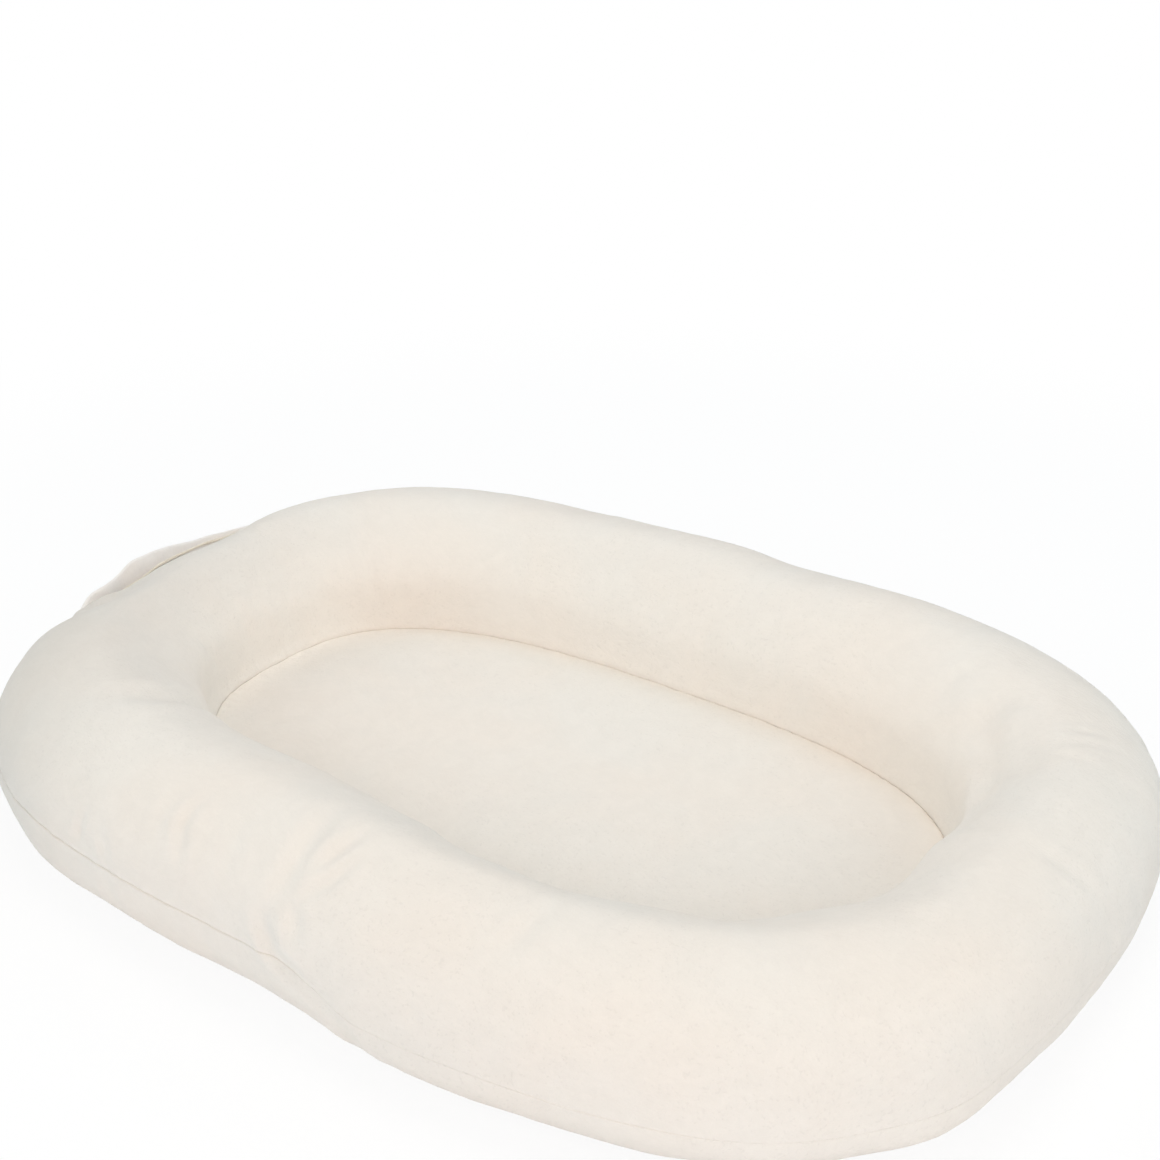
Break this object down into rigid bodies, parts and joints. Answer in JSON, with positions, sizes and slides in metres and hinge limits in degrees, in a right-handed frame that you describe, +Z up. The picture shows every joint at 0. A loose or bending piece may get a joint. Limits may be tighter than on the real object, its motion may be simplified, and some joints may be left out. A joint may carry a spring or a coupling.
{
  "type": "infant lounger",
  "caption": "Padded infant lounger: a soft plush rim round a flat sleeping surface, with a carry strap at the head end and a zipped underside.",
  "frame": {"origin": "on the floor under the middle of the rim's oval", "axes": "+X along the length towards the foot end, -X towards the head end with the carry strap, +Y to the far long side, +Z up"},
  "size_m": [0.89, 0.6598, 0.1279],
  "materials": {
    "plush": "cream short-pile plush, matt, with a soft nap that lies in patches",
    "lining": "thin white non-woven lining",
    "fibre_fill": "white polyester fibre filling",
    "pad_foam": "firm fibre pad",
    "webbing": "cream woven cotton webbing",
    "woven_cotton": "off-white plain-woven cotton",
    "zip_tape": "cream woven zip tape",
    "zip_plastic": "cream nylon coil",
    "zip_metal": "cream lacquered die-cast metal",
    "thread": "cream polyester sewing thread"
  },
  "bodies": {
    "cover": {"upper_cover": "plush", "lower_cover": "plush", "sleep_panel": "plush", "handle_end_near": "plush", "handle_end_far": "plush", "bolster_liner": "lining", "bolster_fill": "fibre_fill", "pad_liner": "lining", "pad_core": "pad_foam", "inner_seam_tape": "webbing", "base_panel_near": "woven_cotton", "base_panel_far": "woven_cotton", "zip_tape_near": "zip_tape", "zip_tape_far": "zip_tape", "zip_coil_near": "zip_plastic", "zip_coil_far": "zip_plastic", "zip_stop_closed": "zip_metal", "zip_stop_open": "zip_metal", "handle_stitch_near": "thread", "handle_stitch_far": "thread"},
    "slider": {"zip_slider": "zip_metal"},
    "pull": {"zip_pull": "zip_metal"},
    "handle": {"handle_grip": "plush", "handle_webbing": "webbing"}
  },
  "joints": [
    {"name": "zip_slide", "type": "slide", "parent": "cover", "child": "slider", "axis": [-1, 0, 0], "range_m": [0, 0.507]},
    {"name": "pull_swing", "type": "hinge", "parent": "slider", "child": "pull", "pos_m": [0.2537, 0, 0.0037], "axis": [0, -1, 0], "range_deg": [0, 170]},
    {"name": "handle_bow", "type": "slide", "parent": "cover", "child": "handle", "axis": [-1, 0, 0], "range_m": [0, 0.025]}
  ]
}
